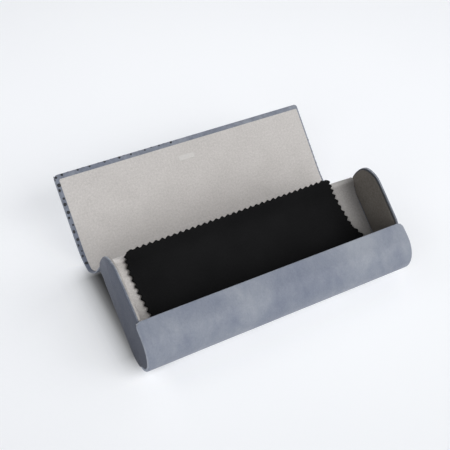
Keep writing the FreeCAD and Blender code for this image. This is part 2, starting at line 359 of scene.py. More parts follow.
# ---- materials ----
def srgb(*channels):
    """0-255 sRGB -> linear RGBA"""
    out = []
    for value in channels:
        value = value / 255.0
        out.append(value / 12.92 if value <= 0.04045 else ((value + 0.055) / 1.055) ** 2.4)
    return (*out, 1.0)


class Shader:
    """a Principled material and short ways to add nodes to it"""

    def __init__(self, name):
        self.material = bpy.data.materials.new(name)
        self.material.use_nodes = True
        self.tree = self.material.node_tree
        self.tree.nodes.clear()
        output = self.node("OutputMaterial")
        self.surface = self.node("BsdfPrincipled")
        self.feed(output.inputs[0], self.surface.outputs[0])

    def node(self, kind, **settings):
        node = self.tree.nodes.new("ShaderNode" + kind)
        for key, value in settings.items():
            setattr(node, key, value)
        return node

    def feed(self, socket, value):
        """link another node's output, or set a plain value"""
        if isinstance(value, bpy.types.NodeSocket):
            self.tree.links.new(value, socket)
        else:
            socket.default_value = value

    def build(self, kind, output, inputs, **settings):
        """add a node, fill its inputs and return one of its outputs"""
        node = self.node(kind, **settings)
        for key, value in inputs.items():
            self.feed(node.inputs[key], value)
        return node.outputs[output]

    def set(self, inputs):
        for key, value in inputs.items():
            self.feed(self.surface.inputs[key], value)

    def attribute(self, name, output="Fac"):
        return self.node("Attribute", attribute_name=name).outputs[output]

    def flat_coord(self, scale=(1, 1, 1)):
        """place on the piece as if laid flat, in metres"""
        vector = self.attribute("rco", "Vector")
        return self.build("Mapping", 0, {"Vector": vector, "Scale": scale})

    def object_coord(self, scale=(1, 1, 1)):
        vector = self.node("TexCoord").outputs["Object"]
        return self.build("Mapping", 0, {"Vector": vector, "Scale": scale})

    def separate(self, vector):
        return self.build("SeparateXYZ", "X", {0: vector}).node.outputs

    def position(self):
        return self.separate(self.node("NewGeometry").outputs["Position"])

    def occlusion(self, samples, distance):
        return self.build("AmbientOcclusion", "AO", {"Distance": distance}, samples=samples)

    def noise(self, vector, scale, detail=3.0, rough=0.5, distortion=0.0):
        return self.build("TexNoise", "Fac", {
            "Vector": vector, "Scale": scale, "Detail": detail,
            "Roughness": rough, "Distortion": distortion})

    def cells(self, vector, scale, feature="F1"):
        return self.build("TexVoronoi", "Distance", {"Vector": vector, "Scale": scale},
                          feature=feature)

    def bands(self, vector, scale, distortion, direction):
        return self.build("TexWave", "Fac", {
            "Vector": vector, "Scale": scale, "Distortion": distortion},
            wave_type="BANDS", bands_direction=direction)

    def math(self, operation, a, b, clamp=False):
        return self.build("Math", 0, {0: a, 1: b}, operation=operation, use_clamp=clamp)

    def mul(self, a, b, clamp=False):
        return self.math("MULTIPLY", a, b, clamp)

    def add(self, a, b):
        return self.math("ADD", a, b)

    def remap(self, value, source, target):
        """map the source range onto the target range, held at its ends"""
        return self.build("MapRange", 0, dict(enumerate((value, *source, *target))))

    def ramp(self, factor, stops):
        node = self.node("ValToRGB")
        elements = node.color_ramp.elements
        while len(elements) < len(stops):
            elements.new(0.5)
        for k, (place, color) in enumerate(stops):
            elements[k].position = place
            elements[k].color = color
        self.feed(node.inputs[0], factor)
        return node.outputs[0]

    def mix(self, factor, a, b, mode="MIX"):
        return self.build("Mix", 2, {0: factor, 6: a, 7: b}, data_type="RGBA", blend_type=mode)

    def tint(self, color, by):
        return self.mix(1.0, color, by, "MULTIPLY")

    def bump(self, height, strength, distance, under=None):
        inputs = {"Strength": strength, "Distance": distance, "Height": height}
        if under is not None:
            inputs["Normal"] = under
        return self.build("Bump", 0, inputs)


def leather(name, tones, wear_and_highlight, rim=0.0, foot_shade_painted=0.0, shine=0.42):
    """tones: dark, middle, light; wear_and_highlight: paleness of rubbed edges, on the end caps
    also a painted highlight;
    rim: darkness of the border on the inner face; foot_shade_painted: painted shade, darker
    towards the table"""
    m = Shader(name)
    stretched = m.flat_coord((1.0, 0.62, 1.0))
    broad = m.noise(stretched, 34, detail=3.5, rough=0.52, distortion=0.4)
    mottle = m.noise(stretched, 95, rough=0.55, distortion=0.8)
    speckle = m.noise(stretched, 420, detail=2.0, rough=0.6)
    tone = m.add(m.mul(broad, 0.62), m.mul(mottle, 0.30))
    tone = m.add(tone, m.mul(speckle, 0.10))
    dust = m.noise(stretched, 1300, detail=2.0, rough=0.6)
    tone = m.add(tone, m.mul(m.math("SUBTRACT", dust, 0.5), 0.16))
    # painted shade: darker towards the low end of the first flat coordinate (the left end on the
    # shell and the lid), lighter towards the other
    tone = m.add(tone, m.mul(m.separate(m.flat_coord())["X"], 0.8))
    dark, middle, light = (srgb(*c) for c in tones)
    color = m.ramp(tone, [(0.36, dark), (0.50, middle), (0.66, light)])

    # dark specks in the pores
    flat = m.flat_coord()
    pores = m.remap(m.cells(flat, 1500), (0.0, 0.32), (0.86, 1.0))
    color = m.tint(color, m.ramp(pores, [(0.0, (0, 0, 0, 1)), (1.0, (1, 1, 1, 1))]))

    # pale rubbed edges: wear, and on the end caps also a painted highlight along the inner edge
    edge = m.attribute("edge")
    rub_and_highlight = m.remap(edge, (0.05, 0.75), (1.0, 0.0))
    rub_and_highlight = m.mul(rub_and_highlight, m.remap(m.noise(flat, 260, rough=0.6), (0.35, 0.6), (0.35, 1.0)))
    color = m.mix(m.mul(rub_and_highlight, wear_and_highlight, clamp=True), color, srgb(188, 193, 202))
    # painted shade: the leather darkens towards the table
    if foot_shade_painted:
        # on an end cap the flat coordinates are s and t
        place = m.separate(flat)
        height = m.add(m.mul(place["X"], SIN_TILT), m.mul(place["Y"], COS_TILT))
        low = m.remap(height, (-0.013, 0.022), (1.0, 0.0))
        color = m.mix(m.mul(low, foot_shade_painted, clamp=True), color, srgb(48, 52, 64))
    if rim:
        # the inner face's border is darker and rubbed in streaks
        streaks = m.remap(m.noise(flat, 330, rough=0.6), (0.30, 0.62), (1.0, 0.35))
        border = m.mul(m.remap(edge, (4.0, 5.2), (1.0, 0.0)), streaks)
        border = m.mul(border, m.attribute("inner"))
        color = m.mix(m.mul(border, rim, clamp=True), color, srgb(78, 83, 96))

    grain = m.remap(m.cells(flat, 1250, "DISTANCE_TO_EDGE"), (0.0, 0.10), (0.0, 1.0))
    relief = m.bump(m.noise(flat, 700, detail=4, rough=0.6), strength=0.30, distance=0.00016)
    m.set({
        "Base Color": color,
        "Roughness": m.remap(mottle, (0.3, 0.7), (0.46, 0.60)),
        "Specular IOR Level": shine,
        "Sheen Weight": 0.06,
        "Sheen Roughness": 0.4,
        "Normal": m.bump(grain, strength=0.32, distance=0.00009, under=relief),
    })
    return m.material


def velvet(name, tones, painted_end_light=False):
    """tones: dark, middle, light; painted_end_light: painted light, paler at the left end, and
    painted shade, darker at the right
    """
    m = Shader(name)
    flat = m.flat_coord()
    broad = m.noise(flat, 60, detail=4, rough=0.55, distortion=0.5)
    tufts = m.noise(flat, 900, rough=0.65)
    pile = m.noise(m.flat_coord((1, 2.2, 1)), 2600, detail=2, rough=0.6)
    tone = m.add(m.mul(broad, 0.15), m.add(m.mul(tufts, 0.42), m.mul(pile, 0.43)))
    dark, middle, light = (srgb(*c) for c in tones)
    color = m.ramp(tone, [(0.36, dark), (0.5, middle), (0.64, light)])
    # painted shade: darker in hollows and corners, from the occlusion node
    shade = m.remap(m.occlusion(samples=8, distance=0.030), (0.10, 0.70), (0.50, 1.0))
    if painted_end_light:
        # painted light at the left end of the tray, painted shade at the right end
        x = m.position()["X"]
        shade = m.mul(shade, m.remap(x, (-0.066, -0.058), (1.36, 1.0)))
        shade = m.mul(shade, m.remap(x, (0.064, 0.075), (1.0, 0.62)))
    grey = m.build("CombineColor", 0, {0: shade, 1: shade, 2: shade})
    relief = m.bump(tufts, strength=0.35, distance=0.00025)
    relief = m.bump(pile, strength=0.5, distance=0.00014, under=relief)
    m.set({
        "Base Color": m.tint(color, grey),
        "Roughness": 0.92,
        "Specular IOR Level": 0.15,
        "Sheen Weight": 0.35,
        "Sheen Roughness": 0.35,
        "Sheen Tint": srgb(235, 232, 228),
        "Normal": m.bump(broad, strength=0.15, distance=0.0006, under=relief),
    })
    return m.material


def microfibre(name):
    m = Shader(name)
    flat = m.flat_coord()
    diagonal = m.build("Mapping", 0, {"Rotation": (0, 0, math.radians(45)), "Vector": flat})
    weave = m.mul(m.bands(diagonal, 520, distortion=0.6, direction="X"),
                  m.bands(diagonal, 520, distortion=0.6, direction="Y"))
    broad = m.noise(flat, 45)
    fuzz = m.noise(flat, 3500, detail=2)
    speckle = m.noise(flat, 1100, detail=2, rough=0.6)
    tone = m.add(m.mul(broad, 0.35), m.add(m.mul(weave, 0.3), m.mul(speckle, 0.42)))
    relief = m.bump(weave, strength=0.4, distance=0.00010)
    m.set({
        "Base Color": m.ramp(tone, [(0.30, srgb(11, 11, 12)), (0.70, srgb(26, 26, 27))]),
        "Roughness": 0.88,
        "Specular IOR Level": 0.12,
        "Sheen Weight": 0.05,
        "Sheen Roughness": 0.5,
        "Sheen Tint": srgb(120, 122, 130),
        "Normal": m.bump(fuzz, strength=0.3, distance=0.00008, under=relief),
    })
    return m.material


def metal(name, color, rough):
    """bare metal, brushed along x"""
    m = Shader(name)
    brushing = m.noise(m.object_coord((1, 14, 14)), 120, detail=4, rough=0.6)
    darker = tuple(c * 0.85 for c in color[:3]) + (1,)
    m.set({
        "Base Color": m.ramp(brushing, [(0.3, darker), (0.7, color)]),
        "Metallic": 1.0,
        "Roughness": m.remap(brushing, (0.3, 0.7), (rough, rough + 0.18)),
        "Normal": m.bump(brushing, strength=0.15, distance=0.00005),
    })
    return m.material


def board(name, dark, light, grain=500):
    m = Shader(name)
    speckle = m.noise(m.object_coord(), grain, detail=5, rough=0.65)
    m.set({
        "Base Color": m.ramp(speckle, [(0.35, srgb(*dark)), (0.65, srgb(*light))]),
        "Roughness": 0.9,
        "Normal": m.bump(speckle, strength=0.4, distance=0.0002),
    })
    return m.material


BLUE_GREY = ((100, 107, 124), (117, 123, 136), (137, 142, 151))
PALE_GREY = ((170, 166, 163), (185, 181, 178), (199, 195, 192))
SHELL_LEATHER = leather("leather_blue_grey", BLUE_GREY, wear_and_highlight=0.35)
LID_LEATHER = leather("leather_lid", BLUE_GREY, wear_and_highlight=0.18, rim=0.62)
# end cap leather, darker than the shell: partly the cap's own leather, partly painted shade of
# the end face
CAP_LEATHER = leather("leather_cap", ((64, 69, 83), (72, 77, 90), (82, 87, 100)),
                      wear_and_highlight=0.75, foot_shade_painted=0.9, shine=0.2)
LID_VELVET = velvet("velvet_lining", PALE_GREY)
TRAY_VELVET = velvet("velvet_tray", PALE_GREY, painted_end_light=True)
PATCH_VELVET = velvet("velvet_patch", ((185, 182, 179), (194, 191, 188), (203, 200, 197)))
# the end panels are the lining's velvet: the left one a mid-tone copy, the right one a much
# darker copy as painted shade
LEFT_CAP_VELVET = velvet("velvet_end_panel_left",
                         ((148, 144, 140), (160, 156, 152), (172, 168, 164)))
RIGHT_CAP_VELVET_SHADED = velvet("velvet_end_panel", ((85, 80, 74), (98, 93, 87), (113, 108, 102)))
CLOTH = microfibre("microfibre_black")
STEEL = metal("rolled_sheet", (0.56, 0.57, 0.58, 1), rough=0.28)
MAGNET = metal("plated_magnet", (0.72, 0.72, 0.73, 1), rough=0.16)
BOARD = board("fibreboard", (96, 80, 62), (132, 112, 88))
FOAM = board("foam_sheet", (205, 203, 196), (232, 230, 224), grain=1400)
# the cap leather's dark cut edge, darkened further as painted shade of the recess between
# leather and velvet
CUT_EDGE_AND_SHADE = leather("cut_edge_dark", ((24, 26, 31), (34, 37, 44), (50, 53, 62)), wear_and_highlight=0.0)
INK = leather("dot_print", ((20, 21, 25), (28, 30, 36), (38, 40, 46)), wear_and_highlight=0.0)


# ---- base shell ----
leather_swell = waves(7, 0.05, 0.22, seed=3)
leather_ripple = waves(9, 0.25, 0.7, seed=5)
pile_waves = waves(9, 0.15, 0.9, seed=11)
MAX_BULGE = 2.45
# angles on the front round between which the shell widens to cover the end caps' edges
WIDEN_ANGLES = (206, 224)


def tray_points(radius, top_s, rear_angle, counts):
    """from the front lip round the front, along the floor and up the rear wall"""
    top, front, rear = counts
    return line_points((top_s, radius), (0, radius), top) \
        + arc_points(0, radius, 90, 270, front)[1:] \
        + line_points((0, -radius), (SPAN, -radius), 40)[1:] \
        + arc_points(SPAN, radius, -90, rear_angle, rear)[1:]


def belly(t):
    """how far the end face swells outwards, more towards the bottom"""
    return 2.1 * np.clip((13.9 - np.asarray(t, float)) / 28.5, 0, 1)


def splay(s):
    """the end caps lean apart a little towards the rear"""
    return 0.85 + 1.0 * np.clip((np.asarray(s, float) - 8.0) / 38.0, 0, 1)


shell_path = Path(tray_points(SHELL_R, LIP_S, RIM_ANGLE, (12, 90, 30)), side=-1)
widen_start, widen_end = (LIP_S + SHELL_R * math.pi * (a - 90) / 180 for a in WIDEN_ANGLES)


def shell_relief(x, u):
    return 0.055 * leather_swell(x, u) + 0.018 * leather_ripple(x, u), 0.0


def shell_half_width(u):
    widened = float(smooth(u, widen_start, widen_end))
    s, t = to_section(shell_path.at(np.array([u]))[0])
    over_cap = CAP_X + min(float(belly(t) + splay(s)), MAX_BULGE) - 0.35
    return HALF_LENGTH * (1 - widened) + over_cap * widened


shell = slab("base_leather_shell", shell_path, SHELL_R - TRAY_R, HALF_LENGTH,
             rounds=(0.75, 0.55), steps=(1.3, 2.0), corners=(3.2, 0.6),
             displace=shell_relief, width_at=shell_half_width)
register(shell, SHELL_LEATHER, "base", "leather_cover", "base_leather_cover")

# ---- base lining ----
LINING_R = TRAY_R - 0.16
# (y, z) where the lining rolls over the rear rim
RIM_ROLL = [to_table(*polar(SPAN, LINING_R, RIM_ANGLE - 2.5)), (42.35, 28.7),
            (43.15, 29.0), (44.2, 29.05), (45.25, 28.55), (46.3, 27.3)]
lining_points = tray_points(LINING_R, LIP_S - 1.5, RIM_ANGLE - 4.0, (10, 80, 24))
lining_points = lining_points[:-1] + list(spline([lining_points[-1]] + RIM_ROLL, 14))
lining_path = Path(lining_points)


def tray_pile(x, u):
    return 0.07 * pile_waves(x, u), 0.0


def lining_half_width(u):
    s, _ = to_section(lining_path.at(np.array([u]))[0])
    return CAP_X - 2.0 + 0.15 + float(splay(s))


def path_places(obj):
    """how far along its path each vertex of a slab lies"""
    return np.array([d.vector[1] for d in obj.data.attributes["rco"].data]) / MM


def droop(obj, length, start, end):
    """the rim sinks a little where it meets the right end cap; start and end count back
    from the path's end"""
    for vertex, u in zip(obj.data.vertices, path_places(obj)):
        weight = float(smooth(u, length - start, length - end))
        weight *= float(smooth(vertex.co.x / MM, 63.0, 77.0))
        vertex.co.z -= 0.35 * MM * weight


tray_lining = slab("base_velvet_lining", lining_path, 0.42, CAP_X - CAP_THICK + 0.15,
                   rounds=(0.2, 0.15), steps=(1.1, 1.8),
                   displace=tray_pile, width_at=lining_half_width)
droop(tray_lining, lining_path.length, start=13.0, end=4.5)
register(tray_lining, TRAY_VELVET, "base", "lining", "base_lining")

# ---- end caps ----
TUCKED_R = TRAY_R - 0.05
FLANGE_R = SHELL_R - 0.06
# (angle on the rear round, extra radius): the cap's corner down to the rim
FOOT = ((-60, 0), (-56, 0.8), (-52, 2.2), (-49, 2.6), (-46, 2.3), (-42, 1.75), (-38, 1.0),
        (-29, 0.25), (-18, 0))
# (angle on the rear round, extra radius): the leather's corner where the spine leaves
EAR = ((-72, 0), (-66, 0.2), (-61, 1.5), (-57, 2.9), (-52, 3.4), (-48, 2.5), (-42, 1.5),
       (-38, 1.15), (-28, 0.5), (-18, 0.15), (-8, 0))


def cap_ring(arc_count=44, line_count=16):
    """(s of the round's centre, angle) of each point on the cap's outline"""
    return [(SPAN, a) for a in np.linspace(-90, 90, arc_count, endpoint=False)] \
        + [(SPAN - SPAN * k / line_count, 90) for k in range(line_count)] \
        + [(0.0, a) for a in np.linspace(90, 270, arc_count, endpoint=False)] \
        + [(SPAN * k / line_count, 270) for k in range(line_count)]


def cap_body_radius(centre, angle):
    """proud where the cap shows, tucked inside the shell elsewhere"""
    s, t = polar(centre, TRAY_R, angle)
    rear = centre == SPAN
    proud = CAP_R
    if rear:
        proud -= float(smooth(100 - angle, 0, 48)) * float(smooth(angle, -35, 0))
    if t > 0 and s > LIP_S + 1.2:
        return proud
    if t > 0 and s > LIP_S - 0.6:
        return TUCKED_R + (CAP_R - TUCKED_R) * float(smooth(s, LIP_S - 0.6, LIP_S + 1.2))
    if rear and angle > RIM_ANGLE - 2:
        rise = float(smooth(angle, RIM_ANGLE - 2, RIM_ANGLE + 6))
        return TUCKED_R + (proud - TUCKED_R) * rise
    return TUCKED_R


def cap_radius(centre, angle):
    foot = float(interpolate(FOOT, angle)) if centre == SPAN and angle < 0 else 0.0
    return cap_body_radius(centre, angle) + foot


def flange_radius(centre, angle):
    """the cap's leather lies over the end of the shell at the bottom and the rear"""
    radius = cap_radius(centre, angle)
    ear = 0.0
    if centre == SPAN and angle <= 90:
        cover = 1 - float(smooth(angle, RIM_ANGLE - 8, RIM_ANGLE + 4))
        ear = float(interpolate(EAR, angle))
    elif centre == 0.0 and 90 <= angle < 270:
        cover = float(smooth(angle, 210, 226))
    else:
        cover = 1.0 if angle == 270 else 0.0
    return radius + (FLANGE_R - radius) * cover + ear


def cap_levels(thick, round_out, round_in, flanged):
    """rings over the plate, outer face to inner: (fraction of radius or None, inset from the
    outline or None, height over the inner face, zone)"""
    fractions = (0.0, 0.1, 0.2, 0.3, 0.4, 0.5, 0.6, 0.7, 0.78, 0.85, 0.9, 0.94, 0.97)
    levels = [(f, None, thick, "face") for f in fractions]
    for k in range(9):
        a = math.radians(90 * k / 8)
        levels.append((None, round_out * (1 - math.sin(a)),
                       thick - round_out * (1 - math.cos(a)), "wall"))
    if flanged:
        levels += [(None, 0.0, thick - 0.82, "wall"), (None, 0.0, thick - 0.84, "edge")]
    for k in range(7):
        a = math.radians(90 * k / 6)
        levels.append((None, round_in * (1 - math.cos(a)), round_in * (1 - math.sin(a)), "edge"))
    return levels + [(f, None, 0.0, "inside") for f in reversed(fractions)]


def cap_plate(name, side, outer, inner, inset, rounds, material, slot, replaced, seed,
              crown=0.0, flanged=False):
    """Plate of an end cap; side is -1 left, 1 right. outer and inner are its faces, counted
    inwards from CAP_X; rounds are the edge radii outside and inside; crown domes the face."""
    outer_x, inner_x = CAP_X - outer, CAP_X - inner
    thick = outer_x - inner_x
    round_out, round_in = rounds
    ring = cap_ring()

    def inset_at(centre, angle):
        """the inset shrinks at the lower rear corner"""
        low = float(smooth(-angle, 22, 34)) if centre == SPAN and angle < 0 else 0.0
        return inset * (1 - 0.65 * low)

    plain = [cap_radius(c, a) - inset_at(c, a) for c, a in ring]
    wide = [flange_radius(c, a) for c, a in ring] if flanged else plain
    levels = cap_levels(thick, round_out, round_in, flanged)
    uneven = waves(6, 0.12, 0.5, seed)
    # the pale rubbed band falls on the inner edge and its wall, not on the face: there it is
    # wear and a painted highlight
    edge_extra = {"face": 1.0, "wall": 0.45, "edge": 0.0}
    verts, flat, edge, inside = [], [], [], []
    for fraction, level_inset, level, zone in levels:
        radii = wide if zone in ("face", "wall") else plain
        for (centre, angle), full in zip(ring, radii):
            if level_inset is None:
                r = fraction * (full - round_out)
                distance = full - r
            else:
                r = full - level_inset
                distance = level_inset
            s, t = polar(centre, r, angle)
            height = level
            if zone == "face":
                height += crown * (1 - (r / full) ** 4)
                height += 0.05 * float(uneven(s, t)) * (1 - fraction)
            if zone == "inside":
                height -= 0.06 * float(uneven(t, s)) * (1 - fraction)
            bulge = float(splay(s))
            if flanged:
                swollen = float(smooth(level, 0.10 * thick, thick - 0.84))
                bulge = min(bulge + float(belly(t)) * swollen, MAX_BULGE)
            height += bulge
            verts.append((side * (inner_x + height), *to_table(s, t)))
            flat.append((s * MM, t * MM, height * MM))
            edge.append(3.0 if zone == "inside" else distance + edge_extra[zone])
            inside.append(1.0 if zone == "inside" else 0.0)
    n = len(ring)
    faces = []
    for i in range(len(levels) - 1):
        for j in range(n):
            k = (j + 1) % n
            quad = (i * n + j, i * n + k, (i + 1) * n + k, (i + 1) * n + j)
            faces.append(quad if side < 0 else quad[::-1])
    obj = make(name, verts, faces, {"rco": flat, "edge": edge, "inner": inside})
    # the innermost rings fold onto the line between the two centres
    recalculate_normals(obj, weld=True)
    register(obj, material, "base", slot, *replaced)


for side_name, side in (("left", -1), ("right", 1)):
    # the dark cut edge shows on the right cap only: on the left one the velvet laps over it
    right = side > 0
    cap_plate("end_cap_skin_" + side_name, side, outer=0.0, inner=1.05, inset=0.0,
              rounds=(0.5, 0.3), material=CAP_LEATHER, slot="leather_cover",
              replaced=("end_cap_leather_" + side_name, "end_cap_board_" + side_name),
              seed=21 + side, crown=0.2, flanged=True)
    cap_plate("end_cap_cut_edge_" + side_name, side, outer=0.95, inner=1.72 if right else 1.30,
              inset=0.12 if right else 0.55, rounds=(0.10, 0.12), material=CUT_EDGE_AND_SHADE,
              slot="edge_binding", replaced=("end_cap_edge_binding_" + side_name,),
              seed=31 + side)
    cap_plate("end_cap_velvet_" + side_name, side, outer=1.62 if right else 1.0, inner=2.05,
              inset=0.9 if right else 0.30, rounds=(0.10, 0.25),
              material=RIGHT_CAP_VELVET_SHADED if right else LEFT_CAP_VELVET,
              slot="lining", replaced=("end_cap_lining_" + side_name,), seed=41 + side)

# ---- lid and spine leather ----
SPINE_THICK = 0.62
LID_ROUNDS = (0.75, 0.65)
SEAM_R = SHELL_R + 0.10 + SPINE_THICK / 2
# (y, z) of the spine's middle line, from near the lid up to the tray's rear rim
SPINE_RISE = [(57.6, 8.1), (53.3, 13.4), (49.9, 18.4), (47.6, 22.2), (46.05, 24.75),
              (44.35, 25.25)]
seam_low, seam_high = SEAM_ANGLES
seam_points = [to_table(*polar(SPAN, SEAM_R, a))
               for a in (seam_high, 0.5 * (seam_low + seam_high), seam_low)]
spine_lead = [to_opened(*polar(SPAN, LID_R_OUT - SPINE_THICK / 2, LID_ANGLE_OUT - a))
              for a in (0.0, 2.5, 5.0)]
spine_middle = Path(spline(spine_lead + SPINE_RISE + seam_points, 16))
middle_points, middle_normals = spine_middle.frame(np.linspace(0, spine_middle.length, 120))
spine_outer = [tuple(q) for q in middle_points + middle_normals * SPINE_THICK / 2]
lid_outer = line_points((LID_S, LID_R_OUT), (SPAN, LID_R_OUT), 50, to_opened) \
    + arc_points(SPAN, LID_R_OUT, 90, LID_ANGLE_OUT, 30, to_opened)[1:]
# leaving out the spine's first points lets the two lines meet smoothly
lid_path = Path(lid_outer + spine_outer[2:])
lid_end_u = Path(lid_outer).length
lid_inner_end_u = SPAN - LID_S + (90 - LID_ANGLE_IN) * (LID_R_OUT * math.pi / 180.0)


def lid_thickness(u):
    thin = float(smooth(u, lid_inner_end_u - 10.0, lid_end_u + 7.0))
    return LID_THICK * (1 - thin) + SPINE_THICK * thin


def lid_relief(x, u):
    on_lid = 1 - smooth(u, lid_inner_end_u, lid_end_u)
    rise = 0.10 * leather_swell(x * 0.9, u + 31) + 0.02 * leather_ripple(x, u + 7)
    rise = rise * (0.35 + 0.65 * on_lid)
    # the free spine has faint lengthwise creases
    free = smooth(u, lid_end_u, lid_end_u + 4) \
        * (1 - smooth(u, lid_path.length - 14, lid_path.length - 9))
    rise = rise + free * 0.05 * np.sin(u * 1.9 + 0.8 * leather_swell(x, 0 * u) * 6)
    return rise, rise * (1 - on_lid)


lid_leather = slab("lid_leather_and_spine", lid_path, lid_thickness, HALF_LENGTH + 0.15,
                   rounds=LID_ROUNDS, steps=(1.15, 2.0), corners=(2.0, 0.5),
                   displace=lid_relief)
lid_leather.data.materials.append(LID_LEATHER)

# ---- lid and spine lining ----
LID_LINING_HALF = HALF_LENGTH - 2.0
# (y, z) where the lining leaves the spine and lies over the rear rim
OVER_RIM = [(48.75, 23.9), (46.85, 26.4), (45.6, 27.85), (44.6, 28.35), (43.6, 28.3)]
under_u = np.r_[np.linspace(2.8, lid_inner_end_u - 10, 60)[:-1],
                np.linspace(lid_inner_end_u - 10, lid_end_u + 22.0, 40)]
under_points, under_normals = lid_path.frame(under_u)
under_depth = np.array([lid_thickness(u) for u in under_u]) \
    + (0.12 + 0.30 * smooth(under_u, lid_inner_end_u + 2, lid_end_u + 6))
on_leather = [tuple(q) for q in under_points - under_normals * under_depth[:, None]]
# the last 30 points are thinned out and run as one curve into the fold over the rim
fold = spline([on_leather[-31]] + on_leather[-30::3] + OVER_RIM, 10)
sheet_path = Path(on_leather[:-31] + [tuple(q) for q in fold], side=-1)


def sheet_half_width(u):
    """full width on the lid, narrower where it drops between the end caps"""
    narrow = float(smooth(u, lid_inner_end_u + 10, lid_inner_end_u + 30))
    return LID_LINING_HALF * (1 - narrow) + (CAP_X - CAP_THICK + 2.1) * narrow


def sheet_pile(x, u):
    return 0.09 * pile_waves(x * 0.8, u) + 0.10 * leather_swell(x, u + 12), 0.0


def stretch_right(obj, start_x=50.0, shift=1.05):
    """on the lid, the lining reaches a little further at the right end"""
    for vertex, u in zip(obj.data.vertices, path_places(obj)):
        x = vertex.co.x / MM
        if x > start_x:
            on_lid = 1 - float(smooth(u, lid_inner_end_u - 4, lid_inner_end_u + 16))
            vertex.co.x += shift * MM * (x - start_x) / (LID_LINING_HALF - start_x) * on_lid


lid_lining = slab("lid_velvet_and_spine", sheet_path, 0.40, LID_LINING_HALF,
                  rounds=(0.22, 0.12), steps=(1.1, 1.8), corners=(1.0, 0.01),
                  displace=sheet_pile, width_at=sheet_half_width)
stretch_right(lid_lining)
droop(lid_lining, sheet_path.length, start=20.0, end=4.0)
lid_lining.data.materials.append(LID_VELVET)

# ---- raised rectangle on the lid lining, near the free edge ----
PATCH_U = 8.8         # its middle along the sheet
PATCH_HALF_DEPTH = 1.55
PATCH_HALF_WIDTH = 5.1
PATCH_RISE = 0.22
PATCH_X = -1.6

patch_points, patch_normals = sheet_path.frame(
    np.linspace(PATCH_U - PATCH_HALF_DEPTH, PATCH_U + PATCH_HALF_DEPTH, 12))
patch_path = Path(patch_points + patch_normals * PATCH_RISE, side=sheet_path.side)
patch = slab("lid_lining_raised_patch", patch_path, 0.34, PATCH_HALF_WIDTH,
             rounds=(0.24, 0.05), steps=(0.4, 0.6), corners=(0.5, 0.5))
for vertex in patch.data.vertices:
    vertex.co.x += PATCH_X * MM
register(patch, PATCH_VELVET, "lid", "lining_patch", "lid_lining_patch")


# ---- dots printed on the lid's edge ----
def edge_point(u, across):
    """Inset and offset of a point on the lid's border. across is 0 on the lining side, 3 mm
    in from the edge; the edge wall runs from about 3.4 to 6.6, then comes the outside."""
    thick = lid_thickness(u)
    round_out = min(LID_ROUNDS[0], 0.62 * thick)
    round_in = min(LID_ROUNDS[1], thick * 0.38)
    inner = np.r_[np.linspace(3.0, round_in, 6),
                  round_in * (1 - np.sin(np.linspace(0, math.pi / 2, 12)))]
    outer = np.r_[round_out * (1 - np.cos(np.linspace(0, math.pi / 2, 16))),
                  np.linspace(round_out, 8, 12)[1:]]
    inset = np.r_[inner, outer]
    offset = np.r_[-thick + round_drop(inner, round_in), -round_drop(outer, round_out)]
    spans = np.linalg.norm(np.diff(np.column_stack([inset, offset]), axis=0), axis=1)
    run = np.r_[0, np.cumsum(spans)]
    return np.interp(across, run, inset), np.interp(across, run, offset)


def side_point(side, u, across):
    """on the border along the lid's left (-1) or right (1) end"""
    inset, offset = edge_point(u, across)
    position, normal = lid_path.frame(np.array([u]))
    y, z = position[0] + normal[0] * offset
    return np.array([side * (HALF_LENGTH + 0.15 - inset), y, z])


def free_edge_point(x, across):
    """on the border along the lid's free edge"""
    inset, offset = edge_point(5.0, across)
    position, normal = lid_path.frame(np.array([inset]))
    y, z = position[0] + normal[0] * offset
    return np.array([x, y, z])


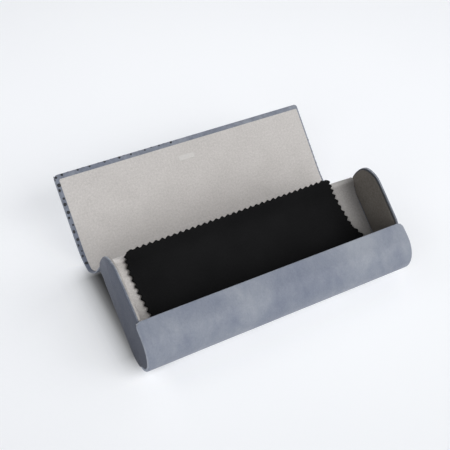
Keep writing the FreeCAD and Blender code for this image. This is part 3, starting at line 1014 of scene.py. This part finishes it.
class DotPrint:
    """thin printed spots that follow the rounded border, gathered in one mesh"""
    SIDES = 14
    LIFT = 0.05
    DEPTH = -0.08
    # (fraction of the radius, height over the leather)
    RINGS = ((0.33, LIFT), (0.66, LIFT), (0.9, LIFT - 0.005), (1.0, LIFT - 0.02),
             (1.0, DEPTH), (0.5, DEPTH))

    def __init__(self, seed):
        self.random = np.random.RandomState(seed)
        self.verts, self.faces, self.flat = [], [], []

    def jitter(self, amount):
        return self.random.uniform(-amount, amount)

    def add(self, surface, along, across, radius, core_u, core_squeeze):
        """core_u and core_squeeze place a point inside the lid, to tell which way is out"""
        position, normal = lid_path.frame(np.array([core_u]))
        core = position[0] - normal[0] * LID_THICK / 2

        def place(a, b, height):
            e = 0.05
            da = surface(a + e, b) - surface(a - e, b)
            db = surface(a, b + e) - surface(a, b - e)
            out = np.cross(da, db)
            out /= np.linalg.norm(out) + 1e-12
            point = surface(a, b)
            if np.dot(out, point - np.array([point[0] * core_squeeze, *core])) < 0:
                out = -out
            self.verts.append(point + out * height)
            self.flat.append((a * MM, b * MM, 0))

        n = self.SIDES
        base = len(self.verts)
        place(along, across, self.LIFT)
        # only two of the three draws shape the spot; the third keeps the sequence in step
        size, turn, _ = self.random.uniform(0.86, 1.12, 3)
        for fraction, height in self.RINGS:
            for k in range(n):
                angle = 2 * math.pi * k / n
                stretch = 1 + 0.14 * (size - 1) * 4 * math.cos(2 * angle + 6 * turn)
                reach = radius * fraction * stretch
                place(along + reach * math.cos(angle), across + reach * math.sin(angle), height)
        place(along, across, self.DEPTH)
        last = len(self.RINGS) - 1
        for k in range(n):
            k2 = (k + 1) % n
            self.faces.append((base, base + 1 + k, base + 1 + k2))
            for j in range(last):
                a, b = base + 1 + j * n, base + 1 + (j + 1) * n
                self.faces.append((a + k, b + k, b + k2, a + k2))
            a = base + 1 + last * n
            self.faces.append((a + k, a + n, a + k2))

    def add_side(self, side, u, across, radius):
        self.add(lambda a, b: side_point(side, a, b), u, across, radius,
                 core_u=u, core_squeeze=0.93)

    def add_free_edge(self, x, across, radius):
        self.add(free_edge_point, x, across, radius, core_u=8.0, core_squeeze=1.0)


# (place along, place across, radius) of the dots at the left front corner of the lid's rim
CORNER_DOTS = ((1.5, 2.1, 0.75), (2.6, 3.6, 0.8), (0.8, 3.9, 0.5))
# (place across, radius, step to the next), repeated along the left end
LEFT_DOTS = ((1.95, 1.10, 3.0), (2.75, 0.90, 4.7), (1.7, 0.68, 3.5), (2.4, 1.05, 4.9))
# repeated along the left half of the free edge
FREE_EDGE_ACROSS = (2.4, 3.4)
FREE_EDGE_STEPS = (4.1, 5.2, 3.4)


def build_dots():
    dots = DotPrint(seed=19)
    uniform = dots.random.uniform
    for u, across, radius in CORNER_DOTS:
        dots.add_side(-1, u, across, radius)
    u = 6.0
    for across, radius, step in cycle(LEFT_DOTS):
        if u >= lid_inner_end_u + 2.0:
            break
        shrink = 1.0 - 0.15 * float(smooth(u, 16, 34))
        dots.add_side(-1, u + dots.jitter(0.3), across + dots.jitter(0.15),
                      radius * shrink * uniform(0.94, 1.08))
        u += step
    u = 24.0
    while u < lid_inner_end_u - 1:
        dots.add_side(1, u + dots.jitter(0.3), 2.9, uniform(0.5, 0.65))
        u += 3.7
    x = -HALF_LENGTH + 4.6
    for across, step in zip(cycle(FREE_EDGE_ACROSS), cycle(FREE_EDGE_STEPS)):
        if x >= -5.0:
            break
        dots.add_free_edge(x + dots.jitter(0.4), across + dots.jitter(0.2), uniform(0.5, 0.85))
        x += step
    obj = make("lid_edge_dot_print", dots.verts, dots.faces,
               {"rco": dots.flat, "edge": np.full(len(dots.verts), 3.0)})
    recalculate_normals(obj)
    register(obj, INK, "lid", "leather_cover")


build_dots()

# ---- cleaning cloths ----
CLOTH_HALF = 67.0
CLOTH_R = TRAY_R - 0.80
CLOTH_ABOVE = 11.0    # how far the cloth's path starts above the rear rim
CLOTH_GRID = 0.86
CLOTH_THICK = 0.42
TOOTH_PITCH = 3.55
TOOTH_DEPTH = 0.95
TOOTH_FADE = 3.6      # the zigzag dies out this far in from the edge
CLOTH_CORNER = 2.2
# (distance down from the rim, x) of the cloth's short sides
CLOTH_LEFT = ((-11.0, -66.5), (-8.0, -66.9), (-4.0, -67.3), (2.0, -67.0), (11.0, -66.4),
              (20.0, -65.7), (28.0, -64.8), (34.0, -64.5), (90.0, -64.5))
CLOTH_RIGHT = ((-11.0, 57.6), (-7.2, 58.9), (-2.0, 60.9), (6.4, 63.3), (13.5, 64.4),
               (20.5, 65.3), (26.0, 66.0), (33.0, 66.3), (90.0, 66.3))
# distance down from the rim of the top edge at its left and right end
CLOTH_TOP = (-7.2, -9.6)


def cloth_path(lift):
    """from above the rear rim, down the rear wall, over the floor and up inside the front"""
    r = CLOTH_R - lift
    angle = math.radians(RIM_ANGLE)
    rim_s, rim_t = polar(SPAN, r, RIM_ANGLE)
    top = [to_table(rim_s - math.sin(angle) * q - 0.012 * q * q, rim_t + math.cos(angle) * q)
           for q in np.linspace(CLOTH_ABOVE, 0, 12)]
    points = top + arc_points(SPAN, r, RIM_ANGLE, -90, 34)[1:] \
        + line_points((SPAN, -r), (0, -r), 34)[1:] + arc_points(0, r, 270, 158, 60)[1:]
    return Path(points, side=-1)


def zigzag(place):
    """triangle wave from -TOOTH_DEPTH to TOOTH_DEPTH"""
    wave = np.abs(((place / TOOTH_PITCH) % 1.0) - 0.5) * 2
    return (wave - 0.5) * 2 * TOOTH_DEPTH


def cloth_sheet(path, phase, seed, fan=0.0, grow=0.0, drop=0.0):
    """Grid of a cloth; phase shifts the zigzag, fan widens it low down on the right, grow
    moves both short sides out, drop lowers the top edge. Returns vertices, faces, flat
    coordinates and how firmly each vertex is held."""
    columns = int(round(2 * CLOTH_HALF / CLOTH_GRID)) + 1
    rows = int(round(path.length / CLOTH_GRID)) + 1
    top_left, top_right = (t + drop for t in CLOTH_TOP)
    across = np.linspace(0, 1, columns)
    top = CLOTH_ABOVE + top_left + (top_right - top_left) * across
    across, down = np.meshgrid(across, np.linspace(0, 1, rows))
    u = top[None, :] * (1 - down) + path.length * down
    below_rim = u - CLOTH_ABOVE
    left = interpolate(CLOTH_LEFT, below_rim) - grow
    right = interpolate(CLOTH_RIGHT, below_rim) + grow + fan * smooth(below_rim, 20.0, 33.0)
    x = left + (right - left) * across
    from_left, from_right, from_top = x - left, right - x, u - top[None, :]
    # rounded upper corners
    for distance, inwards in ((from_left, 1.0), (from_right, -1.0)):
        x = x + inwards * round_drop(from_top, CLOTH_CORNER) * np.clip(1 - distance / 12.0, 0, 1)
    # zigzag along the short sides and the top, weaker where they meet
    near_side = np.clip(1 - np.minimum(from_left, from_right) / TOOTH_FADE, 0, 1)
    near_top = np.clip(1 - from_top / TOOTH_FADE, 0, 1)
    outwards = np.where(from_left < from_right, -1.0, 1.0)
    cut_x = x + outwards * zigzag(u + phase) * near_side * (1 - 0.6 * near_top)
    cut_u = u - zigzag(x + phase * 1.7) * near_top * (1 - 0.6 * near_side)
    position, normal = path.frame(cut_u)
    rise = 0.12 * waves(7, 0.05, 0.18, seed)(x, u)
    verts = np.dstack([cut_x, position + normal * rise[..., None]]).reshape(-1, 3)
    index = np.arange(rows * columns).reshape(rows, columns)
    faces = [(index[i, j], index[i, j + 1], index[i + 1, j + 1], index[i + 1, j])
             for i in range(rows - 1) for j in range(columns - 1)]
    flat = np.stack([cut_x, cut_u, 0 * cut_x], -1).reshape(-1, 3) * MM
    held = (1 - smooth(below_rim, -1.0, 7.0)).ravel()
    return verts, faces, flat, held


def enlarge(obj, factor):
    for vertex in obj.data.vertices:
        vertex.co = vertex.co * factor


def collision_tray(scale):
    """plain tray, a little thicker than the drawn lining, for the cloth to lie in"""
    r = TRAY_R - 0.30
    outline = arc_points(SPAN, r, RIM_ANGLE + 3, -90, 30) \
        + line_points((SPAN, -r), (0, -r), 30)[1:] + arc_points(0, r, 270, 90, 60)[1:] \
        + line_points((0, r), (LIP_S, r), 8)[1:]
    n = len(outline)
    verts = [(x, y, z) for x in (-HALF_LENGTH, HALF_LENGTH) for y, z in outline]
    faces = [(k, k + 1, n + k + 1, n + k) for k in range(n - 1)]
    tray = make("tmp_tray", verts, faces)
    enlarge(tray, scale)
    tray.modifiers.new("c", "COLLISION")
    tray.collision.thickness_outer = 0.004
    tray.collision.cloth_friction = 18
    return tray


def add_cloth_physics(obj, held, frames):
    modifier = obj.modifiers.new("cloth", "CLOTH")
    group = obj.vertex_groups.new(name="held")
    for i, weight in enumerate(held):
        if weight > 0.001:
            group.add([i], float(weight), "REPLACE")
    settings = modifier.settings
    settings.vertex_group_mass = "held"
    settings.quality = 8
    settings.mass = 0.15
    settings.tension_stiffness = 25
    settings.compression_stiffness = 25
    settings.shear_stiffness = 8
    settings.bending_stiffness = 6.0
    settings.air_damping = 3.0
    modifier.collision_settings.distance_min = 0.003
    modifier.collision_settings.collision_quality = 4
    modifier.collision_settings.use_self_collision = False
    modifier.point_cache.frame_start = 1
    modifier.point_cache.frame_end = frames


def settle(obj, held, frames=24, scale=10.0, max_move=3.0):
    """let the cloth sink into the tray, at ten times size so that the contact gap is small"""
    enlarge(obj, scale)
    tray = collision_tray(scale)
    bpy.context.view_layer.update()
    add_cloth_physics(obj, held, frames)
    scene = bpy.context.scene
    scene.frame_start = 1
    scene.frame_end = frames
    rest = np.array([v.co[:] for v in obj.data.vertices])
    for k in range(1, frames + 1):
        scene.frame_set(k)
    evaluated = obj.evaluated_get(bpy.context.evaluated_depsgraph_get())
    settled = np.array([v.co[:] for v in evaluated.data.vertices])
    scene.frame_set(1)
    obj.modifiers.clear()
    bpy.data.objects.remove(tray)
    move = settled - rest
    distance = np.linalg.norm(move, axis=1, keepdims=True)
    move = move * np.minimum(1, max_move * MM * scale / (distance + 1e-12))
    # a simulation that blew up leaves the cloth as it was laid
    if not np.isfinite(move).all():
        move[:] = 0
    for vertex, place in zip(obj.data.vertices, (rest + move) / scale):
        vertex.co = place


def thicken(obj, thickness):
    solidify = obj.modifiers.new("s", "SOLIDIFY")
    solidify.thickness = thickness * MM
    solidify.offset = 0.0
    bpy.context.view_layer.update()
    evaluated = obj.evaluated_get(bpy.context.evaluated_depsgraph_get())
    mesh = bpy.data.meshes.new_from_object(evaluated)
    obj.modifiers.clear()
    obj.data = mesh
    mesh.polygons.foreach_set("use_smooth", [True] * len(mesh.polygons))


verts, faces, flat, held = cloth_sheet(cloth_path(lift=0.75), phase=0.0, seed=51)
top_cloth = make("cleaning_cloth_top", verts, faces, {"rco": flat})
settle(top_cloth, held)
verts, faces, flat, _ = cloth_sheet(cloth_path(lift=0.0), phase=1.3, seed=52,
                                    fan=5.0, grow=-1.2, drop=3.2)
under_cloth = make("cleaning_cloth_under", verts, faces, {"rco": flat})
for cloth in (top_cloth, under_cloth):
    thicken(cloth, CLOTH_THICK)
    register(cloth, CLOTH, "cloth", "cloth")
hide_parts("cleaning_cloth")


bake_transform(lid_leather)
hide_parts("lid_leather_cover", "spine_leather_strip")
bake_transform(lid_lining)
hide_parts("lid_lining", "spine_lining_strip")

# ---- CAD pieces that stay visible ----
CAD_MATERIALS = (("steel", STEEL), ("magnet", MAGNET), ("board", BOARD), ("foam", FOAM))
for name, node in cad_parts.items():
    if node.hide_render:
        continue
    material = next((m for word, m in CAD_MATERIALS if word in name), SHELL_LEATHER)
    if not node.data.materials:
        node.data.materials.append(material)
    for slot in node.material_slots:
        slot.material = material

# ---- floor ----
# (place from the left end outwards, brightness) of the painted shadow on the floor beside the
# left end
LEFT_PAINTED_SHADOW = ((0.0, 0.05), (0.08, 0.12), (0.172, 0.24), (0.30, 0.55), (0.384, 0.69),
              (0.532, 0.87), (0.68, 0.955), (0.92, 1.0))


def floor_material():
    m = Shader("floor_white")
    tone = m.noise(m.object_coord(), 3, detail=2)
    color = m.ramp(tone, [(0.3, srgb(217, 218, 221)), (0.7, srgb(221, 222, 224))])
    place = m.position()
    x, y = place["X"], place["Y"]

    # painted shadow: the floor by the left end cap is painted darker the nearer it is
    outwards = m.remap(x, (-0.0754, -0.1004), (0.0, 1.0))
    shade = m.ramp(outwards, [(p, (k, k, k, 1)) for p, k in LEFT_PAINTED_SHADOW])

    def region(front, rear, right):
        """1 inside, fading to 0 over each (start, end) pair"""
        depth = m.mul(m.remap(y, front, (1.0, 0.0)), m.remap(y, rear, (1.0, 0.0)))
        return m.mul(depth, m.remap(x, right, (1.0, 0.0)))

    # painted shadow beside the left end and, deep, under the case
    beside = region(front=(-0.046, -0.061), rear=(0.012, 0.024), right=(-0.070, -0.060))
    under = region(front=(-0.040, -0.052), rear=(0.0, 0.012), right=(0.060, 0.074))
    painted_shadow = m.mix(m.math("MAXIMUM", beside, under), (1.0, 1.0, 1.0, 1.0), shade)

    # painted light: the floor glows more where the case hides the sky, to fill the wide shadow
    open_sky = m.occlusion(samples=12, distance=0.085)
    fill = m.mul(m.remap(open_sky, (0.30, 1.0), (1.0, 0.0)),
                 m.remap(x, (-0.082, -0.066), (0.33, 0.16)))
    # painted light: the glow also varies slowly over the floor: a quadratic in decimetres, held
    # from -2 to 3
    far_x, far_y = (m.math("MAXIMUM", m.math("MINIMUM", m.mul(v, 10.0), 3.0), -2.0)
                    for v in (x, y))
    falloff = m.add(m.mul(far_x, 0.0144), m.mul(far_y, 0.0336))
    for a, b, weight in ((far_x, far_x, -0.0085), (far_y, far_y, -0.0157),
                         (far_x, far_y, -0.0062)):
        falloff = m.add(falloff, m.mul(m.mul(a, b), weight))
    # the floor also glows with a constant painted light, which lifts its shadows
    m.set({
        "Base Color": m.tint(color, painted_shadow),
        "Emission Color": m.tint(painted_shadow, (0.975, 0.985, 1.0, 1.0)),
        "Emission Strength": m.add(m.add(fill, falloff), 0.2295),
        "Roughness": 0.75,
        "Specular IOR Level": 0.2,
    })
    return m.material


def build_floor(half=6.0):
    mesh = bpy.data.meshes.new("floor")
    corners = [(-half, -half, 0), (half, -half, 0), (half, half, 0), (-half, half, 0)]
    mesh.from_pydata(corners, [], [(0, 1, 2, 3)])
    obj = bpy.data.objects.new("floor", mesh)
    bpy.context.scene.collection.objects.link(obj)
    mesh.materials.append(floor_material())


build_floor()


# ---- world, lights and camera ----
def build_world():
    """dim sky for lighting, a brighter one as pale as the floor where the camera sees it"""
    world = bpy.data.worlds.new("w")
    bpy.context.scene.world = world
    world.use_nodes = True
    nodes, links = world.node_tree.nodes, world.node_tree.links
    lighting = nodes["Background"]
    lighting.inputs["Color"].default_value = (0.94, 0.965, 1.0, 1)
    lighting.inputs["Strength"].default_value = 0.42
    seen = nodes.new("ShaderNodeBackground")
    seen.inputs["Color"].default_value = (0.95, 0.965, 1.0, 1)
    seen.inputs["Strength"].default_value = 0.90
    light_path = nodes.new("ShaderNodeLightPath")
    mix = nodes.new("ShaderNodeMixShader")
    links.new(light_path.outputs["Is Camera Ray"], mix.inputs[0])
    links.new(lighting.outputs[0], mix.inputs[1])
    links.new(seen.outputs[0], mix.inputs[2])
    links.new(mix.outputs[0], nodes["World Output"].inputs["Surface"])


def softbox(name, azimuth, elevation, size, power, color, distance=3.0):
    """square lamp aimed at the case; metres, watts, azimuth from the front to the right"""
    az, el = math.radians(azimuth), math.radians(elevation)
    place = (distance * math.sin(az) * math.cos(el), -distance * math.cos(az) * math.cos(el),
             distance * math.sin(el))
    light = bpy.data.lights.new(name, "AREA")
    light.shape = "RECTANGLE"
    light.size = size
    light.size_y = size
    light.energy = power
    light.color = color
    obj = bpy.data.objects.new(name, light)
    obj.location = place
    obj.rotation_mode = "QUATERNION"
    aim = Vector((0, 0, 0.02)) - Vector(place)
    obj.rotation_quaternion = aim.to_track_quat("-Z", "Y")
    bpy.context.scene.collection.objects.link(obj)


# name, azimuth, elevation, size, power, colour
SOFTBOXES = (
    ("key", 30, 36, 2.2, 46, (1.0, 0.998, 0.99)),
    ("right", 62, 28, 1.8, 24, (1.0, 1.0, 1.0)),
    ("front_left", -55, 28, 2.2, 25, (0.985, 0.99, 1.0)),
    ("back_right", 120, 42, 1.8, 10, (0.99, 0.995, 1.0)),
    ("back_left", -120, 34, 2.0, 11, (0.99, 0.995, 1.0)),
)


def build_camera(azimuth, elevation, roll, distance, shift, target, lens):
    """mm and degrees; azimuth from the front to the right, shift moves the picture right and
    up, target is the point looked at before the shift"""
    data = bpy.data.cameras.new("camera")
    camera = bpy.data.objects.new("camera", data)
    bpy.context.scene.collection.objects.link(camera)
    az, el, turn = (math.radians(angle) for angle in (azimuth, elevation, roll))
    back = Vector((math.sin(az) * math.cos(el), -math.cos(az) * math.cos(el), math.sin(el)))
    level = Vector((math.cos(az), math.sin(az), 0))
    upright = back.cross(level)
    right = math.cos(turn) * level + math.sin(turn) * upright
    up = -math.sin(turn) * level + math.cos(turn) * upright
    place = Vector(target) + back * distance - right * shift[0] - up * shift[1]
    rows = [(right[k], up[k], back[k], place[k] * MM) for k in range(3)]
    camera.matrix_world = Matrix((*rows, (0, 0, 0, 1)))
    data.sensor_width = 36.0
    data.lens = lens
    data.clip_start = 0.01
    data.clip_end = 30.0
    bpy.context.scene.camera = camera


build_world()
for name, azimuth, elevation, size, power, color in SOFTBOXES:
    softbox(name, azimuth, elevation, size, power, color)
build_camera(azimuth=-31.39, elevation=45.70, roll=4.44, distance=437.99,
             shift=(14.87, -14.58), target=(0, 25.0 - ORIGIN_Y, 20.0), lens=64.3792)
bpy.context.scene.view_settings.view_transform = "Standard"
bpy.context.scene.view_settings.look = "None"
